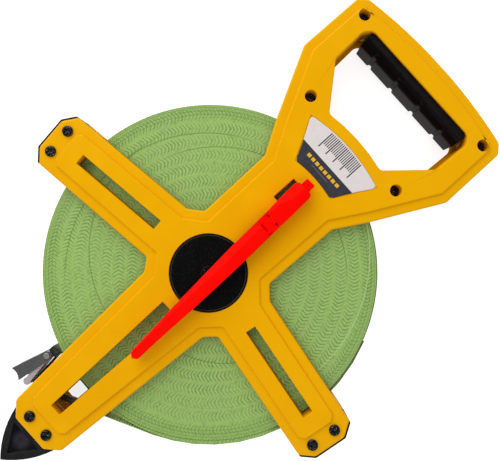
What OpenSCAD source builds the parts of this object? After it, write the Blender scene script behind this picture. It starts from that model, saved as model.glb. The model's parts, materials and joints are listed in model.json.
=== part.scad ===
// Open-reel tape measure with a D handle, three arms, a folding crank and an end hook.
// It lies on its back. The origin is on the reel axis at the back face, +X points from
// the ground spike to the handle, and +Z is the reel axis, out of the crank side.

/* [Frame] */
// Thickness of the closed frame, back face to front face
frame_t = 36; // [34:1:40]
// Height of the raised plateau above the shoulder, on each face
step_h = 2; // [1:0.5:3]
// Distance from the frame's outline to the edge of the plateau
step_inset = 7.6; // [6:0.2:9]
// Thickness of the outer walls of both shells
wall = 3; // [2.5:0.5:4]
// Length of each side arm, from the reel axis
arm_len = 160.5; // [158:0.5:163]
// Half the width of each side arm
arm_half = 23.15; // [21:0.05:24]
// Direction of the left side arm, in degrees from the handle's direction
arm_angle = 97.8; // [95:0.1:100]
// Width of the slot along each side arm
slot_w = 8.3; // [7:0.1:10]

/* [Handle] */
// Distance from the reel axis to the outer edge of the handle
handle_x = 236.2; // [235:0.1:238]
// Half the width of the handle
handle_half = 80.7; // [80:0.1:83]
// Distance from the reel axis to the outer side of the hand opening
hand_x = 215; // [213:0.1:216]
// Half the length of the rubber grip
grip_half = 52.5; // [50:0.5:53]
// How far the grip stands into the hand opening
grip_proud = 11.4; // [8:0.1:12]
// Number of finger grooves in the grip
grip_grooves = 4; // [2:1:6]

/* [Reel] */
// Width of the tape
tape_w = 13; // [10:1:13]
// Thickness of the tape
tape_t = 0.5; // [0.3:0.1:0.6]
// Outer radius of the wound tape
pack_r = 130; // [125:0.5:131.5]
// Radius of the drum that the tape is wound on
core_r = 38; // [36:1:42]
// Radius of the disc that carries the crank
disc_r = 29.5; // [29:0.1:30]
// Radius of the spindle
spindle_r = 5; // [4:0.5:6]

/* [Crank] */
// Angle of the crank to the handle's direction when it is stowed, in degrees
crank_angle = 2.6; // [0:0.1:4]
// Sideways distance from the reel axis to the crank's centre line
crank_offset = 5.3; // [5:0.1:6]
// Half the width of the crank head and of the lever's wide end
crank_half = 7.35; // [7:0.05:8]
// Distance from the reel axis to the lever's hinge pin
hinge_x = 58; // [56:1:60]
// Distance from the reel axis to the tip of the folded lever
lever_tip = 82; // [70:0.5:90]

/* [End hook] */
// Position of the hook's rivet along the frame
rivet_x = -136.9; // [-138:0.1:-136.5]
// Position of the hook's rivet across the frame
rivet_y = 35.7; // [35:0.1:36.5]
// Length of the claw, from the rivet to its tip
claw_len = 28.5; // [24:0.5:29]
// Length of the ring, from the rivet to the middle of its end rod
ring_len = 25.5; // [20:0.5:26]

/* [Hidden] */

eps = 0.01;
mid_z = frame_t / 2;
shoulder_z = frame_t - step_h;
// Reel cavity: the gap between the two shells, and its radius past the wound tape
cavity_half = tape_w / 2 + 0.5;
cavity_r = pack_r + 4.5;
plate_z = mid_z + cavity_half;
pocket_top = frame_t - wall;
tape_z0 = mid_z - tape_w / 2;
tape_z1 = mid_z + tape_w / 2;

yellow = [0.93, 0.68, 0.03];
black = [0.07, 0.07, 0.08];
red = [0.90, 0.12, 0.04];
green = [0.62, 0.74, 0.45];
steel = [0.62, 0.62, 0.64];

// ---------- Plane geometry ----------

// A point on a side arm: distance along it, and across it towards the handle
arm_shift = 2.5;
function arm_pt(along, across) =
    [along * cos(arm_angle) + (across + arm_shift) * sin(arm_angle),
     along * sin(arm_angle) - (across + arm_shift) * cos(arm_angle)];

// A half outline and its mirror image across the X axis
function flip_y(points) = [for (i = [len(points) - 1:-1:0]) [points[i][0], -points[i][1]]];
function both_sides(half) = concat(half, flip_y(half));

// Unit normal to the right of an edge, which points inwards on a clockwise outline
function right_of(a, b) = let (e = b - a) [e[1], -e[0]] / norm(e);
function inset(points, d) =
    let (n = len(points))
    [for (i = [0:n - 1])
        let (a = right_of(points[(i + n - 1) % n], points[i]),
             b = right_of(points[i], points[(i + 1) % n]))
        points[i] + d * (a + b) / (1 + a * b)];

// Point on a quadratic curve
function curve(a, b, c, t) = a * (1 - t) * (1 - t) + b * 2 * t * (1 - t) + c * t * t;
function polar(r, a) = [r * cos(a), r * sin(a)];

// Frame outline, from the spike end round to the handle, for one side
nose_x = -183;
nose_half = 15.7;
rear_arm_end = [-173.4, 26];
rear_arm_root = [-36, 33.4];
arm_root = 44;
arm_corner = 152.4;
arm_end_half = 13;
root_flare = 0.8;
neck_root = [29, 37];
neck_end = [91.2, 38];
handle_root = [116.1, 52.7];
handle_side_x = 169.7;
handle_corner = [223.2, 80];
bar_end = [229.7, 73.5];
bar_sag = handle_x - bar_end[0];
bar_steps = 6;
frame_half = concat(
    [[nose_x, nose_half], rear_arm_end, rear_arm_root,
     arm_pt(arm_root, -arm_half - root_flare),
     arm_pt(arm_corner, -arm_half), arm_pt(arm_len, -arm_end_half),
     arm_pt(arm_len, arm_end_half), arm_pt(arm_corner, arm_half),
     arm_pt(arm_root, arm_half + root_flare),
     neck_root, neck_end, handle_root, [handle_side_x, handle_half], handle_corner],
    [for (i = [0:bar_steps - 1])
        let (y = bar_end[1] * (1 - i / bar_steps))
        [handle_x - bar_sag * pow(y / bar_end[1], 2), y]]);
outline = both_sides(frame_half);

// Plateau outline: the frame's, inset, and cut short at the ends of the three arms
plateau_end = 144.5;
plateau_nose = -165.5;
corner_cut = 4;
inner = inset(outline, step_inset);
arm_plateau = arm_half - step_inset;
plateau_half = concat(
    [[plateau_nose, rear_arm_end[1] - step_inset - corner_cut],
     [plateau_nose + corner_cut, rear_arm_end[1] - step_inset],
     inner[2], inner[3],
     arm_pt(plateau_end - corner_cut, -arm_plateau),
     arm_pt(plateau_end, -arm_plateau + corner_cut),
     arm_pt(plateau_end, arm_plateau - corner_cut),
     arm_pt(plateau_end - corner_cut, arm_plateau)],
    [for (i = [8:len(frame_half) - 1]) inner[i]]);
plateau = both_sides(plateau_half);

// Joining blocks between the shells, set back at the arm ends for the bumpers
bumper_depth = 4.2;
bumper_from = 147;
spike_base = -177;
inside = inset(outline, bumper_depth);
outside = inset(outline, -1.5);
beside = inset(outline, -0.1);
block_half = concat(
    [[spike_base - 0.05, 0], [spike_base - 0.05, 21.9], rear_arm_end, rear_arm_root,
     frame_half[3], arm_pt(bumper_from, -arm_half),
     arm_pt(bumper_from, -arm_half + bumper_depth),
     inside[4], inside[5], inside[6], inside[7],
     arm_pt(bumper_from, arm_half - bumper_depth), arm_pt(bumper_from, arm_half)],
    [for (i = [8:len(frame_half) - 1]) frame_half[i]]);
block = both_sides(block_half);

// Hand opening: an arc round the reel on its inner side
hand_arc_r = 151;
hand_arc_a = 11;
hand_half = concat(
    [for (a = [0, 0.5, 1] * hand_arc_a) polar(hand_arc_r, a)],
    [[180, 56.6], [209, 57.8], [hand_x, grip_half + 0.1]]);
hand = concat(hand_half, flip_y([for (i = [1:len(hand_half) - 1]) hand_half[i]]));

// Slot in the rear arm, which tapers towards the spike
rear_slot = [[-154.9, 4.8], [-40.1, 6.9], [-40.1, -6.9], [-154.9, -4.8]];
side_slot_from = 53;
side_slot_to = 130;

// Screws: two at each arm end, and four in deep counterbores in the handle
side_screw = [151.3, 10];
arm_screw_spots = [for (s = [-1, 1], across = [-side_screw[1], side_screw[1]])
    let (p = arm_pt(side_screw[0], across)) [p[0], s * p[1]]];
nose_screw_spots = [[-173.4, -9.4], [-173.4, 9.4]];
handle_screw_spots = [for (s = [-1, 1], p = [[146.8, 48], [218.4, 66.5]]) [p[0], s * p[1]]];
screw_r = 1.9;
screw_head_r = 4.2;
screw_tip_z = 8;
screw_seat_z = 26;

// Label: a fan round the reel
label_r = [107.2, 142.4];
label_a = [10.6, 15.3];
function fan(d) = concat(
    [for (t = [-1:0.5:1]) polar(label_r[0] + d, label_a[0] * t - sign(t) * d / 3)],
    [for (t = [1:-0.25:-1]) polar(label_r[1] - d, label_a[1] * t - sign(t) * d / 3)]);

// ---------- Shells ----------

module slab(points, z0, z1) {
    translate([0, 0, z0]) linear_extrude(z1 - z0) polygon(points);
}

module drill(spots, r, z0, z1) {
    for (p = spots) translate([p[0], p[1], z0]) cylinder(r = r, h = z1 - z0, $fn = 32);
}

module side_box(side, along, across, z0, z1) {
    c = [arm_pt(along[0], across[0]), arm_pt(along[1], across[0]),
         arm_pt(along[1], across[1]), arm_pt(along[0], across[1])];
    slab([for (p = c) [p[0], side * p[1]]], z0, z1);
}

// Hollows between the ribs, open towards the other shell
module rib_pockets() {
    slot_rib = slot_w / 2 + wall;
    for (s = [-1, 1]) {
        side_box(s, [52, 128], [slot_rib, arm_half - wall], plate_z - eps, pocket_top);
        side_box(s, [52, 128], [wall - arm_half, -slot_rib], plate_z - eps, pocket_top);
        slab([for (p = [[-126, 9], [-44, 10.5], [-44, 29], [-126, 25]]) [p[0], s * p[1]]],
             plate_z - eps, pocket_top);
        slab([for (p = [[162, 55], [178, 61], [206, 62], [206, 75.5], [171, 76.5], [158, 70]])
              [p[0], s * p[1]]], mid_z - eps, pocket_top);
    }
    for (s = [-1, 1]) {
        slab([for (p = [[74, 13.5], [97, 13.5], [97, 33], [74, 33]]) [p[0], s * p[1]]],
             plate_z - eps, pocket_top);
        slab([for (p = [[101, 33], [124, 33], [116, 47], [101, 39]]) [p[0], s * p[1]]],
             plate_z - eps, pocket_top);
    }
    slab([[40, -32], [71, -32], [71, 32], [40, 32]], plate_z - eps, pocket_top);
    slab([[101, -30], [128, -30], [128, 30], [101, 30]], plate_z - eps, pocket_top);
    slab([[138.5, -19], [146, -19], [146, 19], [138.5, 19]], mid_z - eps, pocket_top);
    slab([[222.5, -55], [230, -55], [230, 55], [222.5, 55]], mid_z - eps, pocket_top);
}

grip_seat_x = 219.2;
grip_seat_z = 15.3;
tenon_x = -167.5;
tenon_half = 14;
tenon_t = 8;
post_spots = [[-142.3, -22.3], [-157.1, 23.7]];
post_pin_r = 2;

// What the two shells share, drawn as the front one
module shell() {
    difference() {
        union() {
            slab(outline, plate_z, shoulder_z);
            slab(plateau, shoulder_z - eps, frame_t);
            difference() {
                slab(block, mid_z, plate_z + eps);
                cylinder(r = cavity_r, h = plate_z, $fn = 96);
                // Way through the rear arm for the tape
                translate([-166, -40, 0]) cube([60, 80, plate_z]);
            }
        }
        slab(hand, -1, frame_t + 1);
        slab(rear_slot, -1, frame_t + 1);
        for (s = [-1, 1])
            side_box(s, [side_slot_from, side_slot_to], [-slot_w / 2, slot_w / 2], -1, frame_t + 1);
        rib_pockets();
        // Seat of the grip
        translate([hand_x - 2, -grip_half - 0.1, mid_z - eps])
            cube([grip_seat_x - hand_x + 2, 2 * grip_half + 0.2, grip_seat_z + eps]);
        // Seat of the spike's tenon
        translate([spike_base - 1, -tenon_half - 0.1, mid_z - eps])
            cube([tenon_x - spike_base + 1.1, 2 * tenon_half + 0.2, tenon_t / 2 + 0.1]);
        // Holes for the guide posts
        drill(post_spots, post_pin_r + 0.02, mid_z, 31.1);
    }
}

hole_r = disc_r + 0.4;
latch_x = [75.2, 95.4];
latch_y = [-7.5, 9.9];
label_recess = 0.8;

module front_frame() {
    color(yellow) difference() {
        shell();
        translate([0, 0, plate_z - 1]) cylinder(r = hole_r, h = frame_t, $fn = 96);
        slab([[latch_x[0], latch_y[0]], [latch_x[1], latch_y[0]],
              [latch_x[1], latch_y[1]], [latch_x[0], latch_y[1]]], 0, frame_t + 1);
        slab(fan(0), frame_t - label_recess, frame_t + 1);
        drill(concat(arm_screw_spots, nose_screw_spots, handle_screw_spots),
              screw_r + 0.2, 0, frame_t + 1);
        drill(handle_screw_spots, screw_head_r + 0.4, screw_seat_z, frame_t + 1);
    }
}

flange_r = 11;
flange_z = [8.5, 10.9];
spindle_z = [3, 31];
// Annular hollow round the spindle boss
hub_pocket_r = [15, 33];

module rear_frame() {
    color(yellow) difference() {
        translate([0, 0, frame_t]) mirror([0, 0, 1]) shell();
        drill(concat(arm_screw_spots, nose_screw_spots, handle_screw_spots),
              screw_r + 0.05, screw_tip_z - 1, frame_t);
        translate([0, 0, spindle_z[0]]) cylinder(r = spindle_r + 0.02, h = mid_z, $fn = 48);
        translate([0, 0, flange_z[0]]) cylinder(r = flange_r + 0.05, h = mid_z, $fn = 48);
        ring(hub_pocket_r[0], hub_pocket_r[1], wall, mid_z);
    }
}

// ---------- Fixed trim and fasteners ----------

module handle_grip() {
    face = hand_x - grip_proud;
    half_h = grip_seat_z - 0.2;
    side = [[grip_seat_x - 0.1, 10], [hand_x + 2, half_h], [face + 7.4, half_h],
            [face + 3.4, half_h - 2], [face + 1, half_h - 4.4], [face, half_h - 6.6]];
    profile = concat(side, [for (i = [len(side) - 1:-1:0]) [side[i][0], -side[i][1]]]);
    pitch = 25;
    groove = [3.3, 2];
    color(black) difference() {
        translate([0, grip_half, mid_z]) rotate([90, 0, 0])
            linear_extrude(2 * grip_half) polygon(profile);
        for (i = [0:grip_grooves - 1])
            translate([face - 1, (i - (grip_grooves - 1) / 2) * pitch - groove[0] / 2, 0])
                cube([groove[1] + 1, groove[0], frame_t]);
    }
}

// Rubber cap on the end of a side arm: a tongue between the shells, and a lip over their ends
module bumper(side) {
    gap = 0.1;
    ring = concat(
        [arm_pt(bumper_from + gap, -arm_half - 1)], [for (i = [4:7]) outside[i]],
        [arm_pt(bumper_from + gap, arm_half + 1),
         arm_pt(bumper_from + gap, arm_half - bumper_depth + gap)],
        [for (i = [7:-1:4]) inside[i] + [0, gap]],
        [arm_pt(bumper_from + gap, -arm_half + bumper_depth - gap)]);
    lip = concat([for (i = [4:7]) outside[i]], [for (i = [7:-1:4]) beside[i]]);
    lip_z = 3.2;
    color(black) intersection() {
        union() {
            slab([for (p = ring) [p[0], side * p[1]]], mid_z - cavity_half + 0.05,
                 mid_z + cavity_half - 0.05);
            slab([for (p = lip) [p[0], side * p[1]]], lip_z, frame_t - lip_z);
        }
        side_box(side, [bumper_from, arm_len + 10], [-arm_half, arm_half], 0, frame_t);
    }
}
module bumper_left() { bumper(1); }
module bumper_right() { bumper(-1); }

spike_tip = -218.5;
spike_half = 23.6;
spike_bulge = [-201.6, 18.8];

module ground_spike() {
    edge = [for (t = [0:0.125:1]) curve([spike_base, spike_half], spike_bulge, [spike_tip, 0], t)];
    leaf = concat(edge, flip_y([for (i = [0:len(edge) - 2]) edge[i]]));
    hollow = [[-191.3, 13.8], [-211.1, 0], [-191.3, -13.8]];
    half = cavity_half - 0.05;
    color(black) difference() {
        union() {
            slab(leaf, mid_z - half, mid_z + half);
            translate([spike_base - 1, -tenon_half, mid_z - tenon_t / 2])
                cube([tenon_x - spike_base + 1, 2 * tenon_half, tenon_t]);
        }
        slab(hollow, mid_z + half - 2, mid_z + half + 1);
        slab(hollow, mid_z - half - 1, mid_z - half + 2);
        drill(nose_screw_spots, screw_r + 0.2, 0, frame_t);
    }
}

// Pan-head screw with its head's underside at seat_z
module screw(seat_z) {
    head_h = 2.4;
    recess = [0.9, 4.6, 1.3];
    difference() {
        union() {
            translate([0, 0, screw_tip_z]) cylinder(r = screw_r, h = seat_z - screw_tip_z + eps, $fn = 24);
            translate([0, 0, seat_z]) cylinder(r = screw_head_r, h = head_h, $fn = 32);
        }
        for (a = [0, 90]) rotate(a)
            translate([-recess[1] / 2, -recess[0] / 2, seat_z + head_h - recess[2]])
                cube([recess[1], recess[0], 2]);
    }
}

module arm_screws() {
    color(black) for (p = concat(arm_screw_spots, nose_screw_spots))
        translate(p) screw(shoulder_z);
}

module handle_screws() {
    color(black) for (p = handle_screw_spots) translate(p) screw(screw_seat_z);
}

module label() {
    color([0.88, 0.87, 0.87]) slab(fan(0.3), frame_t - label_recess, frame_t - 0.2);
}

// Steel posts between the shells that turn the tape on its way through the rear arm
post_r = [2.5, 4.2];
module guide_posts() {
    color(steel) for (i = [0, 1]) translate(post_spots[i]) {
        translate([0, 0, mid_z - 13]) cylinder(r = post_pin_r, h = 26, $fn = 32);
        translate([0, 0, mid_z - cavity_half + 0.1])
            cylinder(r = post_r[i], h = 2 * cavity_half - 0.2, $fn = 32);
    }
}

// ---------- Spindle ----------

module ring(r0, r1, z0, z1, n = 48) {
    translate([0, 0, z0]) difference() {
        cylinder(r = r1, h = z1 - z0, $fn = n);
        translate([0, 0, -1]) cylinder(r = r0, h = z1 - z0 + 2, $fn = n);
    }
}

stud_r = 2;
module spindle() {
    color(steel) difference() {
        union() {
            translate([0, 0, spindle_z[0]])
                cylinder(r = spindle_r, h = spindle_z[1] - spindle_z[0], $fn = 48);
            translate([0, 0, flange_z[0]])
                cylinder(r = flange_r, h = flange_z[1] - flange_z[0], $fn = 48);
        }
        translate([0, 0, 18]) cylinder(r = stud_r + 0.05, h = 20, $fn = 24);
    }
}

washer_z = [spindle_z[1], 32.3];
module spindle_washer() {
    color(steel) ring(stud_r + 0.1, 9.5, washer_z[0], washer_z[1]);
}

module spindle_screw() {
    color(steel) difference() {
        union() {
            translate([0, 0, 20]) cylinder(r = stud_r, h = washer_z[1] - 20 + eps, $fn = 24);
            translate([0, 0, washer_z[1]]) cylinder(r = 4.8, h = 2.8, $fn = 32);
        }
        translate([0, 0, washer_z[1] + 1.3]) cylinder(r = 2.3, h = 3, $fn = 6);
    }
}

// ---------- Reel ----------

bush_r = 8;
module hub_bush() {
    color([0.75, 0.6, 0.3]) ring(spindle_r + 0.03, bush_r, flange_z[1] + 0.2, spindle_z[1] - 0.1);
}

boss_r = 13;
web_z = [15, 18];
rib_r = [26.5, disc_r];
rim_w = 4;
disc_z = frame_t + 0.2;
module reel_core() {
    foot_z = flange_z[1] + 0.2;
    color(black) rotate_extrude($fn = 96) polygon([
        [bush_r + 0.01, foot_z], [boss_r, foot_z], [boss_r, web_z[0]],
        [core_r - rim_w, web_z[0]], [core_r - rim_w, tape_z0], [core_r, tape_z0],
        [core_r, tape_z1], [core_r - rim_w, tape_z1], [core_r - rim_w, web_z[1]],
        [rib_r[1], web_z[1]], [rib_r[1], tape_z1], [rib_r[0], tape_z1],
        [rib_r[0], web_z[1]], [boss_r, web_z[1]], [boss_r, tape_z1],
        [bush_r + 0.01, tape_z1]]);
}

crank_screw_x = 17;
crank_screw_r = 1.5;
module hub_disc() {
    lid_z = 33.2;
    groove = [27.2, 28.4, 0.9];
    wall_r = 10.3;
    color(black) difference() {
        rotate_extrude($fn = 96) polygon([
            [wall_r, tape_z1], [boss_r, tape_z1], [boss_r, lid_z], [rib_r[0], lid_z],
            [rib_r[0], tape_z1], [rib_r[1], tape_z1], [rib_r[1], disc_z],
            [groove[1], disc_z], [groove[1], disc_z - groove[2]],
            [groove[0], disc_z - groove[2]], [groove[0], disc_z],
            [5.2, disc_z], [5.2, lid_z], [wall_r, lid_z]]);
        in_crank() drill([[-crank_screw_x, 0], [crank_screw_x, 0]], crank_screw_r + 0.02, 20, 40);
    }
}

module tape_pack() {
    color(green) ring(core_r + 0.02, pack_r, tape_z0, tape_z1, 128);
}

anchor_r = 1.2;
module tape_anchor() {
    color(steel) translate([core_r - rim_w - anchor_r - 0.01, 0, web_z[1]])
        cylinder(r = anchor_r, h = tape_z1 - web_z[1], $fn = 24);
}

// ---------- Crank, drawn along its own X axis ----------

module in_crank() { rotate(crank_angle) translate([0, -crank_offset, 0]) children(); }

arm_top = 40;
bar_half = 3.8;
bar_end_x = 92;
clear_z = frame_t + 0.7;
module crank_arm() {
    color(black) in_crank() difference() {
        union() {
            translate([-24, -bar_half, disc_z]) cube([50, 2 * bar_half, arm_top - disc_z]);
            translate([25, -bar_half, clear_z]) cube([bar_end_x - 25, 2 * bar_half, arm_top - clear_z]);
        }
        drill([[-crank_screw_x, 0], [crank_screw_x, 0]], crank_screw_r + 0.05, 30, 50);
        drill([[-crank_screw_x, 0], [crank_screw_x, 0]], 2.7, 38.2, 50);
    }
}

module crank_screws() {
    color(steel) in_crank() for (x = [-crank_screw_x, crank_screw_x]) translate([x, 0, 0]) {
        translate([0, 0, 33.3]) cylinder(r = crank_screw_r, h = 5, $fn = 24);
        translate([0, 0, 38.2]) cylinder(r = 2.6, h = 1.6, $fn = 24);
    }
}

lever_z = [40.3, 48.9];
hinge_z = (lever_z[0] + lever_z[1]) / 2;
hinge_r = (lever_z[1] - lever_z[0]) / 2;
pin_r = 1.5;
lug_half = 3.2;
ear_half = 5.6;
head_x = [62.7, 95.8];
tab_half = 4.1;
tab_z = [42.1, 45];
tab_travel = 4;
tab_x = [82, 102];

// Cylinder across the crank at the hinge
module across_hinge(r, half) {
    translate([hinge_x, 0, hinge_z]) rotate([90, 0, 0])
        cylinder(r = r, h = 2 * half, center = true, $fn = 48);
}

// The head's two cheeks, outside the lever's ears
cheek_in = ear_half + 0.15;
module cheeks() {
    for (y = [-crank_half, cheek_in]) {
        translate([hinge_x, y, lever_z[0]])
            cube([head_x[0] - hinge_x + 1, crank_half - cheek_in, 2 * hinge_r]);
        translate([hinge_x, y, hinge_z]) rotate([-90, 0, 0])
            cylinder(r = hinge_r, h = crank_half - cheek_in, $fn = 48);
    }
}

module crank_head() {
    color(red) in_crank() difference() {
        union() {
            translate([head_x[0], -crank_half, clear_z])
                cube([head_x[1] - head_x[0], 2 * crank_half, lever_z[1] - clear_z]);
            translate([hinge_x, -lug_half, lever_z[0]])
                cube([head_x[0] - hinge_x + 1, 2 * lug_half, lever_z[1] - lever_z[0]]);
            across_hinge(hinge_r, lug_half);
            cheeks();
        }
        across_hinge(pin_r + 0.01, crank_half + 1);
        translate([head_x[0] - 1, -bar_half - 0.05, 30])
            cube([bar_end_x - head_x[0] + 1.05, 2 * bar_half + 0.1, arm_top + 0.05 - 30]);
        translate([tab_x[0] - tab_travel - 0.1, -tab_half - 0.08, tab_z[0] - 0.08])
            cube([40, 2 * tab_half + 0.16, tab_z[1] - tab_z[0] + 0.16]);
    }
}

module hinge_pin() {
    color(steel) in_crank() across_hinge(pin_r, crank_half - 0.3);
}

module crank_grip() {
    notch_x = hinge_x - hinge_r - 0.5;
    wide_x = 30;
    waist = [-25.4, 5.9];
    tip_r = 3.7;
    tip_x = tip_r - lever_tip;
    top_half = [[tip_x, tip_r], waist, [wide_x, crank_half], [notch_x, crank_half]];
    color(red) in_crank() difference() {
        union() {
            slab(both_sides(top_half), lever_z[0], lever_z[1]);
            translate([tip_x, 0, lever_z[0]]) cylinder(r = tip_r, h = lever_z[1] - lever_z[0], $fn = 32);
            translate([notch_x - 1, -ear_half, lever_z[0]])
                cube([hinge_x - notch_x + 1, 2 * ear_half, lever_z[1] - lever_z[0]]);
            across_hinge(hinge_r, ear_half);
        }
        across_hinge(pin_r + 0.04, crank_half);
        translate([notch_x, -lug_half - 0.15, 30]) cube([30, 2 * lug_half + 0.3, 30]);
    }
}

module lock_tab() {
    color(red) in_crank() translate([tab_x[0], -tab_half, tab_z[0]])
        cube([tab_x[1] - tab_x[0], 2 * tab_half, tab_z[1] - tab_z[0]]);
}

// ---------- Free end of the tape ----------

// The outer turns are slack on one side. The lead leaves them, crosses the rear arm, turns
// round the second post and comes back along the arm's side into the end clip.
lead_angle = 117.1;
slack = [2.8, -130, 42];
function slack_r(a) = pack_r + 0.3 + slack[0] * exp(-pow((a - slack[1]) / slack[2], 2));
lead_r = slack_r(slack[1]) + tape_t / 2;
turn_r = 4.7;
turn_end = 95;
clip_slot_y = 31;
lead_path = concat(
    [for (a = [-66:-8:slack[1] + 1]) polar(slack_r(a) + tape_t / 2, a)],
    [for (a = [slack[1]:-7:lead_angle - 270]) polar(lead_r, a)],
    [for (a = [lead_angle + 90:-14:turn_end]) post_spots[1] + turn_r * [cos(a), sin(a)]],
    [[-134.2, clip_slot_y], [-129.2, clip_slot_y]]);
slack_turns = concat(
    [for (a = [-66:-4:-194]) polar(slack_r(a) + 0.02, a)],
    [for (a = [-194:4:-66]) polar(pack_r + 0.3, a)]);

function path_normal(p, i) =
    let (n = len(p), a = p[max(i - 1, 0)], b = p[min(i + 1, n - 1)], e = b - a)
    [-e[1], e[0]] / norm(e);
function ribbon(p, t) = concat(
    [for (i = [0:len(p) - 1]) p[i] + path_normal(p, i) * t / 2],
    [for (i = [len(p) - 1:-1:0]) p[i] - path_normal(p, i) * t / 2]);

module tape_lead() {
    color(green) {
        slab(ribbon(lead_path, tape_t), tape_z0, tape_z1);
        slab(slack_turns, tape_z0, tape_z1);
    }
}

// The clip is a short box section. The tape is clamped in its thicker lower wall.
clip_x = [-133.5, -128.6];
clip_y = [30.3, 38.4];
clip_wall = 0.8;
clip_clamp = 1.4;
clip_half_z = 7;
lug_half_y = 1.7;
barrel_z = [mid_z - 3.5, mid_z + 3.5];
rivet_r = 1.5;
module at_rivet() { translate([rivet_x, rivet_y, 0]) children(); }

module end_clip() {
    color([0.16, 0.2, 0.12]) difference() {
        union() {
            translate([clip_x[0], clip_y[0], mid_z - clip_half_z])
                cube([clip_x[1] - clip_x[0], clip_y[1] - clip_y[0], 2 * clip_half_z]);
            translate([rivet_x, rivet_y - lug_half_y, barrel_z[0]])
                cube([clip_x[0] - rivet_x + clip_wall / 2, 2 * lug_half_y, barrel_z[1] - barrel_z[0]]);
            at_rivet() translate([0, 0, barrel_z[0]])
                cylinder(r = 3, h = barrel_z[1] - barrel_z[0], $fn = 32);
        }
        at_rivet() cylinder(r = rivet_r + 0.03, h = frame_t, $fn = 32);
        translate([clip_x[0] + clip_wall, clip_y[0] + clip_clamp, 0])
            cube([clip_x[1] - clip_x[0] - 2 * clip_wall,
                  clip_y[1] - clip_y[0] - clip_clamp - clip_wall, frame_t]);
        translate([clip_x[0] - 1, clip_slot_y - tape_t / 2 - 0.01, tape_z0 - 0.01])
            cube([clip_x[1] - clip_x[0] + 0.5, tape_t + 0.02, tape_w + 0.02]);
    }
}

cheek_z = [mid_z + 7.3, mid_z + 8.5];
module hook_pin() {
    color(steel) at_rivet() {
        translate([0, 0, 2 * mid_z - cheek_z[1] - 0.2])
            cylinder(r = rivet_r, h = 2 * (cheek_z[1] - mid_z) + 0.4, $fn = 32);
        translate([0, 0, cheek_z[1] + 0.1]) cylinder(r = 2.4, h = 1, $fn = 32);
        translate([0, 0, 2 * mid_z - cheek_z[1] - 1.1]) cylinder(r = 2.4, h = 1, $fn = 32);
    }
}

claw_dir = 168.2;
claw_root = 3.4;
claw_tip = 5.5;
function claw_edge(d) = claw_root + (claw_tip - claw_root) * d / claw_len;
// Two cheeks and the web that joins them along the outer edge
module hook_claw() {
    bite = 1.6;
    web_t = 1.2;
    web_x = [6.5, 25];
    cheek = concat(
        [[0, claw_root], [claw_len, claw_tip]],
        [for (t = [0.75:-0.25:-0.75])
            [claw_len - bite * (1 - t * t), t * claw_tip]],
        [[claw_len, -claw_tip], [0, -claw_root]]);
    // The web is on the side away from the rear arm
    web = [for (p = [[web_x[0], 0], [web_x[1], 0], [web_x[1], web_t], [web_x[0], web_t]])
           [p[0], p[1] - claw_edge(p[0])]];
    color(steel) at_rivet() rotate(claw_dir) difference() {
        union() {
            for (z = [cheek_z[0], 2 * mid_z - cheek_z[1]]) {
                slab(cheek, z, z + cheek_z[1] - cheek_z[0]);
                translate([0, 0, z]) cylinder(r = claw_root, h = cheek_z[1] - cheek_z[0], $fn = 32);
            }
            slab(web, 2 * mid_z - cheek_z[0] - eps, cheek_z[0] + eps);
        }
        cylinder(r = rivet_r + 0.04, h = frame_t, $fn = 32);
    }
}

ring_dir = 189.5;
leg_t = 2.4;
leg_w = 4.4;
eye_r = 3.2;
knuckle_r = 2.9;
// Bail of two flat legs with eyes, joined by a thick end rod
module hook_ring() {
    reach_z = 7.1;
    color(steel) at_rivet() rotate(ring_dir) difference() {
        union() {
            for (z = [mid_z - reach_z, mid_z + reach_z - leg_t]) translate([0, 0, z]) {
                cylinder(r = eye_r, h = leg_t, $fn = 32);
                translate([0, -leg_w / 2, 0]) cube([ring_len, leg_w, leg_t]);
            }
            translate([ring_len, 0, mid_z - reach_z])
                cylinder(r = knuckle_r, h = 2 * reach_z, $fn = 32);
        }
        cylinder(r = rivet_r + 0.04, h = frame_t, $fn = 32);
    }
}

front_frame();
rear_frame();
handle_grip();
bumper_left();
bumper_right();
ground_spike();
arm_screws();
handle_screws();
label();
guide_posts();
spindle();
spindle_washer();
spindle_screw();
reel_core();
hub_bush();
hub_disc();
tape_pack();
tape_anchor();
crank_arm();
crank_screws();
crank_head();
hinge_pin();
crank_grip();
lock_tab();
tape_lead();
end_clip();
hook_pin();
hook_claw();
hook_ring();
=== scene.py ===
"""Looks of an open-reel tape measure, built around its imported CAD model."""
import json
import math

import bmesh
import bpy
from mathutils import Matrix, Vector


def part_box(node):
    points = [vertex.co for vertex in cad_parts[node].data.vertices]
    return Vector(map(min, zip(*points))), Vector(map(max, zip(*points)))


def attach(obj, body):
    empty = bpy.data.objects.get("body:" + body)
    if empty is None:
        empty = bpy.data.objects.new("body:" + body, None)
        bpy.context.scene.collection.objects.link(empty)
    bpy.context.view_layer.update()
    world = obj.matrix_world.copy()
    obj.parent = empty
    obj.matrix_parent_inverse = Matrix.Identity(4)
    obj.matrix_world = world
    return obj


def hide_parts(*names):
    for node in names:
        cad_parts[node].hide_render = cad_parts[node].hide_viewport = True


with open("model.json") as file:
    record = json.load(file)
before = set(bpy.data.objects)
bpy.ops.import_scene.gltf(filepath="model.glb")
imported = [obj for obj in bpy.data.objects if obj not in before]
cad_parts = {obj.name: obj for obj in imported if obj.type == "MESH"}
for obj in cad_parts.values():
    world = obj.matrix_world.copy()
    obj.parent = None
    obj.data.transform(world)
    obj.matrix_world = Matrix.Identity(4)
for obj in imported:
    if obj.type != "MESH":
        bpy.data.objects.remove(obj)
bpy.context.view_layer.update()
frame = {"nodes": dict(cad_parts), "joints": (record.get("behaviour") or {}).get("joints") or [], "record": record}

MM = 0.001
NODES = frame["nodes"]
BODY_OF = {n: b for b, names in frame["record"]["behaviour"]["bodies"].items() for n in names}
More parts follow.
